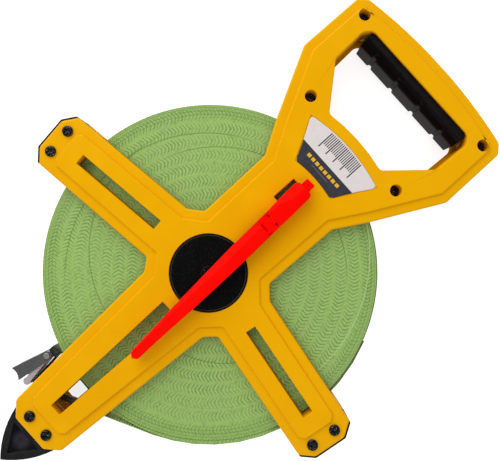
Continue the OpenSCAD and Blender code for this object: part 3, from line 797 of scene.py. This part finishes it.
def make_label():
    low, high = box_mm("label")
    polar = [(v.co.xy.length / MM, math.degrees(math.atan2(v.co.y, v.co.x)))
             for v in NODES["label"].data.vertices]
    r0, r1 = min(p[0] for p in polar), max(p[0] for p in polar)
    a0 = max(abs(a) for r, a in polar if r < r0 + 1)
    a1 = max(abs(a) for r, a in polar if r > r1 - 1)
    corner, pull = 2.2, 0.16

    def edge_point(t, r):
        a = math.radians((a0 + (a1 - a0) * (r - r0) / (r1 - r0)) * t)
        return Vector((r * math.cos(a), r * math.sin(a), 0))

    corners = [edge_point(-1, r0), edge_point(-1, r1), edge_point(1, r1), edge_point(1, r0)]
    outline = [edge_point(-1, r0 + (r1 - r0) * k / 12) for k in range(1, 12)]
    outline += [edge_point(-1 + 2 * k / 40, r1) for k in range(1, 40)]
    outline += [edge_point(1, r1 - (r1 - r0) * k / 12) for k in range(1, 12)]
    outline += [edge_point(1 - 2 * k / 32, r0) for k in range(1, 32)]
    centre = sum(corners, Vector()) / 4
    keep = []
    for p in outline:
        near = min(corners, key=lambda c: (c - p).length)
        d = (near - p).length
        if d < corner:
            p = p + (centre - near).normalized() * (corner - d) ** 2 * pull
        keep.append(p)
    rows = []
    for share, z in ((0.0, low.z), (0.0, high.z - 0.12), (0.12, high.z), (1.2, high.z)):
        rows.append([(*(p + (centre - p).normalized() * share).xy, z) for p in keep])
    obj = object_of("label_plate", grid_mesh(rows), sharp=60.0)
    split = r0 + 0.39 * (r1 - r0)
    return finish_piece(obj, "label", label_paint(split, r1))


# ---------- Screws ----------

HEAD_HEIGHT = 2.4
SHANK_R, SHANK_LENGTH = 1.9, 6.0
RECESS_DEPTH, RECESS_REACH, RECESS_HALF = 1.35, 2.45, 0.62


def screw_mesh(bm, under, top, radius):
    """A domed pan head with a cross recess, and a length of shank, on the Z axis."""
    rings, around = 20, 72
    height = top - under
    centre = bm.verts.new((0, 0, top - RECESS_DEPTH))
    last = None
    for i in range(1, rings + 1):
        share = i / rings
        ring = []
        for j in range(around):
            a = 2 * math.pi * (j + 0.5) / around
            r = radius * share
            u, v = r * math.cos(a), r * math.sin(a)
            dome = height * (0.42 + 0.58 * math.sqrt(max(0.0, 1 - share ** 3.2)))
            small, large = sorted((abs(u), abs(v)))
            narrow = 1 - smooth_step((small - RECESS_HALF) / 0.28)
            inside = narrow * (1 - smooth_step((large - RECESS_REACH + 0.3) / 0.45))
            depth = RECESS_DEPTH * inside * (1 - 0.35 * large / RECESS_REACH)
            ring.append(bm.verts.new((u, v, under + dome - depth)))
        for j in range(around):
            k = (j + 1) % around
            if last is None:
                bm.faces.new((centre, ring[j], ring[k]))
            else:
                bm.faces.new((last[j], ring[j], ring[k], last[k]))
        last = ring
    for r, z in ((radius, under + 0.15), (radius - 0.15, under), (SHANK_R, under),
                 (SHANK_R, under - SHANK_LENGTH)):
        angles = [2 * math.pi * (j + 0.5) / around for j in range(around)]
        ring = [bm.verts.new((r * math.cos(a), r * math.sin(a), z)) for a in angles]
        for j in range(around):
            k = (j + 1) % around
            bm.faces.new((last[j], ring[j], ring[k], last[k]))
        last = ring
    bm.faces.new(last)


def make_screws(node, name, mat, turn):
    """One screw at each solid of the node, each turned a little further than the last."""
    bm = bmesh.new()
    for i, (low, high) in enumerate(islands(node)):
        part = bmesh.new()
        screw_mesh(part, high.z - HEAD_HEIGHT, high.z, (high.x - low.x) / 2)
        spin = Matrix.Rotation(turn + i * 0.9, 3, "Z")
        bmesh.ops.rotate(part, verts=part.verts, cent=(0, 0, 0), matrix=spin)
        bmesh.ops.translate(part, verts=part.verts, vec=((low.x + high.x) / 2, (low.y + high.y) / 2, 0))
        mesh = bpy.data.meshes.new("part")
        part.to_mesh(mesh)
        part.free()
        bm.from_mesh(mesh)
        bpy.data.meshes.remove(mesh)
    return finish_piece(object_of(name, bm, sharp=50.0), node, mat)


# ---------- Crank ----------

FOLD_AT = Vector(JOINT["crank_fold"]["pos_m"]) / MM
ACROSS = Vector(JOINT["crank_fold"]["axis"])
ALONG = Vector((ACROSS.y, -ACROSS.x, 0))
CENTRE_Y = FOLD_AT.dot(ACROSS)
HINGE_X = FOLD_AT.dot(ALONG)
HINGE_Z = FOLD_AT.z


def crank_point(x, y, z):
    """Row-frame point from one along the crank, across it from its centre line, and up."""
    return ALONG * x + ACROSS * (CENTRE_Y + y) + Vector((0, 0, z))


def crank_matrix():
    """Turns metres along and across the crank into the row frame."""
    m = Matrix.Identity(4)
    origin = crank_point(0, 0, 0) * MM
    for i in range(3):
        m[i][0], m[i][1], m[i][3] = ALONG[i], ACROSS[i], origin[i]
    return m


def blade(stations, bottom):
    """Loft of five-sided sections: x, left and right half widths, ridge y, ridge z, left z, right z."""
    rows = []
    for x, left, right, ridge, top, left_z, right_z in stations:
        rows.append([crank_point(x, -right, bottom), crank_point(x, -right, right_z),
                     crank_point(x, ridge, top), crank_point(x, left, left_z),
                     crank_point(x, left, bottom)])
    return grid_mesh(rows)


def make_lever(mat):
    low, high = box_mm("crank_grip")
    bottom, top = low.z, high.z
    reach, tip_r, tip_steps = 82.0, 3.9, 8
    end = HINGE_X - 4.8
    stations = []
    for k in range(tip_steps + 1):
        t = k / tip_steps
        a = math.radians(12 + 78 * t)
        x = -reach + tip_r * (1 - math.cos(a)) + 0.02
        w = tip_r * math.sin(a)
        stations.append((x, w + 0.15 * t, w - 0.15 * t, 0.5 + 2.1 * t, top - 1.5 + 0.9 * t,
                         top - 2.9 + 0.7 * t, top - 2.7 + 1.2 * t))
    stations += [(-62.0, 4.6, 4.1, 2.9, top - 0.45, top - 2.2, top - 1.3),
                 (-45.0, 5.2, 4.8, 3.0, top - 0.3, top - 2.3, top - 1.2),
                 (-25.4, 6.0, 5.8, 2.5, top - 0.15, top - 2.5, top - 1.1),
                 (-8.0, 6.5, 6.35, 2.0, top - 0.05, top - 2.7, top - 1.1),
                 (12.0, 7.0, 6.9, 1.6, top, top - 2.8, top - 1.2),
                 (30.0, 7.4, 7.3, 1.6, top, top - 2.8, top - 1.3),
                 (44.0, 7.4, 7.35, 1.8, top, top - 2.7, top - 1.3),
                 (end, 7.4, 7.35, 1.9, top, top - 2.6, top - 1.3)]
    obj = object_of("crank_lever", blade(stations, bottom), sharp=180.0)
    round_edges(obj, 0.55, 3, by_weight=False, angle=17.0)
    finish_piece(obj, "crank_grip", mat)
    # The two ears at the hinge pin
    radius = (top - bottom) / 2
    inner, outer, bevel = 3.24, 5.70, 0.10
    for side in (-1, 1):
        rows = []
        for y, edge in ((inner, bevel), (inner + bevel, 0.0), (outer - bevel, 0.0), (outer, bevel)):
            row = []
            for k in range(25):
                a = math.radians(-90 + 180 * k / 24)
                row.append(crank_point(HINGE_X + (radius - edge) * math.cos(a), side * y,
                                       HINGE_Z + (radius - edge) * math.sin(a)))
            row += [crank_point(end - 1.0, side * y, top - 0.1 - edge),
                    crank_point(end - 1.0, side * y, bottom + 0.1 + edge)]
            rows.append(row)
        ear = object_of(f"lever_ear_{'l' if side > 0 else 'r'}", grid_mesh(rows), sharp=40.0)
        finish_detail(ear, "lever", mat)
    return obj


def make_head(mat):
    low, high = box_mm("crank_head")
    bottom, top = low.z, high.z
    start = HINGE_X + 4.7
    end = 95.8
    stations = [(start, 7.35, 7.35, 4.4, top - 0.1, top - 1.1, top - 0.5),
                (66.0, 7.45, 7.45, 4.6, top - 0.05, top - 1.3, top - 0.5),
                (70.0, 7.6, 7.55, 4.9, top, top - 1.5, top - 0.6),
                (75.0, 7.75, 7.6, 4.4, top, top - 1.8, top - 0.6),
                (79.0, 7.8, 7.6, 2.6, top, top - 2.2, top - 0.7),
                (83.0, 7.85, 7.6, 0.6, top, top - 2.6, top - 0.7),
                (88.0, 7.9, 7.55, 0.2, top, top - 2.8, top - 0.8),
                (91.5, 7.9, 7.5, 0.2, top - 0.05, top - 2.9, top - 0.9),
                (93.2, 7.55, 7.3, 0.2, top - 0.2, top - 3.0, top - 1.1),
                (94.4, 6.9, 6.8, 0.2, top - 0.45, top - 3.2, top - 1.4),
                (95.3, 6.0, 6.1, 0.2, top - 0.8, top - 3.5, top - 1.8),
                (end, 4.9, 5.1, 0.2, top - 1.3, top - 3.9, top - 2.4)]
    obj = object_of("crank_block", blade(stations, bottom), sharp=180.0)
    round_edges(obj, 0.5, 3, by_weight=False, angle=17.0)
    tab_low, tab_high = box_mm("lock_tab")
    m = crank_matrix()
    tab_half, bar_half, bar_end = 4.2, 3.85, 92.05
    cut(obj, block("slot_cutter", (77.5, -tab_half, tab_low.z - 0.1), (110, tab_half, tab_high.z + 0.1), m))
    bar_top = box_mm("crank_arm")[1].z
    cut(obj, block("bar_cutter", (start - 2, -bar_half, bottom - 2), (bar_end, bar_half, bar_top + 0.05), m))
    finish_piece(obj, "crank_head", mat)
    # The middle lug, and the two cheeks outside the lever's ears
    radius, reach, bevel = 4.3, 4.74, 0.1
    inner, outer, lug_half = 5.73, 7.35, 3.2
    for name, y0, y1 in (("head_lug", -lug_half, lug_half), ("head_cheek_l", inner, outer),
                         ("head_cheek_r", -outer, -inner)):
        rows = []
        for y, edge in ((y0, bevel), (y0 + bevel, 0.0), (y1 - bevel, 0.0), (y1, bevel)):
            row = []
            for k in range(25):
                a = math.radians(90 + 180 * k / 24)
                z = max(edge - radius, min(radius - edge, (reach - edge) * math.sin(a)))
                row.append(crank_point(HINGE_X + (reach - edge) * math.cos(a), y, HINGE_Z + z))
            row += [crank_point(start + 1.0, y, HINGE_Z - radius + edge),
                    crank_point(start + 1.0, y, HINGE_Z + radius - edge)]
            rows.append(row)
        finish_detail(object_of(name, grid_mesh(rows), sharp=40.0), "reel", mat)
    return obj


def make_tab(mat):
    low, high = box_mm("lock_tab")
    bottom, top = low.z, high.z
    rows = []
    start, end = 82.0, 102.0
    e = 0.3
    for x, half, drop in ((start, 3.9, 0.2), (start + 0.3, 4.1, 0.0), (96.0, 4.1, 0.0), (100.9, 4.0, 0.0),
                          (101.6, 3.8, 0.25), (end, 3.3, 0.8)):
        rows.append([crank_point(x, -half + e, bottom + drop), crank_point(x, -half, bottom + drop + e),
                     crank_point(x, -half, top - drop - e), crank_point(x, -half + e, top - drop),
                     crank_point(x, half - e, top - drop), crank_point(x, half, top - drop - e),
                     crank_point(x, half, bottom + drop + e), crank_point(x, half - e, bottom + drop)])
    obj = object_of("catch_tab", grid_mesh(rows), sharp=40.0)
    finish_piece(obj, "lock_tab", mat)
    # Slightly raised cross for the thumb, low enough to slide under the block
    cross_x, arm, half = 98.9, 1.5, 0.32
    for i, (dx, dy) in enumerate(((arm, half), (half, arm))):
        rows = []
        for z, share in ((top - 0.1, 1.0), (top + 0.04, 1.0), (top + 0.06, 0.9)):
            rows.append([crank_point(cross_x + sx * dx * share, sy * dy * share, z)
                         for sx, sy in ((-1, -1), (1, -1), (1, 1), (-1, 1))])
        finish_detail(object_of(f"catch_rib_{i}", grid_mesh(rows), sharp=30.0), "lock", mat)
    return obj


# ---------- Build ----------

def spike_rule(e):
    """Rounding of the spike's edges."""
    return 0.9 if e.is_convex else 0.3


def disc_rule(e):
    """Rounding of the hub disc's edges, more on the outer edge of its lid."""
    c = (e.verts[0].co + e.verts[1].co) / 2
    return 0.8 if c.xy.length > 28.9 and c.z > 35 else 0.25


def make_floor():
    bm = bmesh.new()
    bmesh.ops.create_grid(bm, x_segments=8, y_segments=8, size=4000.0)
    floor = object_of("floor", bm)
    floor.data.materials.append(floor_paint())
    floor.location.z = -0.1 * MM


def build():
    tidy_view()
    make_camera()
    yellow = yellow_plastic()
    red = red_plastic()
    black = black_plastic()
    screws = screw_black()
    rubber = bumper_rubber()
    plain_steel = steel("plain_steel", (0.42, 0.42, 0.43), (0.58, 0.58, 0.60))
    claw_steel = steel("claw_steel", (0.085, 0.084, 0.087), (0.145, 0.143, 0.148), 0.42, (0.2, 3, 1), 0.45)
    ring_steel = steel("ring_steel", (0.46, 0.44, 0.49), (0.60, 0.58, 0.63), 0.40, (0.3, 2, 2), 0.35)
    clip = steel("clip_lacquer", (0.012, 0.018, 0.008), (0.03, 0.042, 0.020), 0.25, metal=0.5)
    tape = tape_paint("tape_edges")

    remake("front_frame", "front_shell", yellow, shell_rule("front_frame"), 4, 2.4)
    remake("rear_frame", "rear_shell", yellow, shell_rule("rear_frame"), 4, 2.4)
    make_grip(grip_rubber())
    for side in ("left", "right"):
        remake(f"bumper_{side}", f"bumper_pad_{side}", rubber, 0.9, 3)
    remake("ground_spike", "spike_leaf", spike_plastic(), spike_rule, 3, 0.9)
    make_screws("arm_screws", "arm_pan_screws", screws, 0.35)
    make_screws("handle_screws", "handle_pan_screws", screws, 0.6)
    make_label()
    make_pack(tape)
    # The outer ring is a painted highlight on the rim of the hub's lid; the inner one is a thin grey ring round
    # the centre.
    hub_rim_highlight_and_centre_ring = ((28.3, 0.35, 0.055), (5.2, 0.3, 0.05))
    remake("hub_disc", "hub_plate", black_plastic("hub_plastic", 0.0018, 0.55, 0.07, hub_rim_highlight_and_centre_ring),
           disc_rule, 3, 0.8)
    make_head(red)
    make_lever(red)
    make_tab(red)
    remake("crank_arm", "crank_bar", black, 0.5, 3)
    remake("guide_posts", "tape_posts", plain_steel, 0.3, 2)
    remake("hook_claw", "claw_plate", claw_steel, 0.18, 2)
    remake("hook_ring", "ring_bail", ring_steel, 0.1, 2)
    remake("end_clip", "tape_clip", clip, 0.2, 2)
    remake("hook_pin", "hook_rivet", plain_steel, 0.35, 3)

    carried = {"spindle": plain_steel, "spindle_washer": plain_steel, "spindle_screw": screws,
               "reel_core": black, "hub_bush": nylon(), "tape_anchor": plain_steel,
               "crank_screws": screws, "hinge_pin": plain_steel,
               "tape_lead": tape_paint("tape_lead_face", loose=True)}
    for node, mat in carried.items():
        NODES[node].data.materials.clear()
        NODES[node].data.materials.append(mat)

    make_floor()
    make_world(0.64, 0.10)
    soft_light("key", (0.35, 1.25, 0.95), (0.02, 0.0, 0.02), 2.0, 20.0)
    soft_light("fill", (-0.6, -0.7, 1.3), (0.0, 0.0, 0.02), 1.4, 4.0)


build()
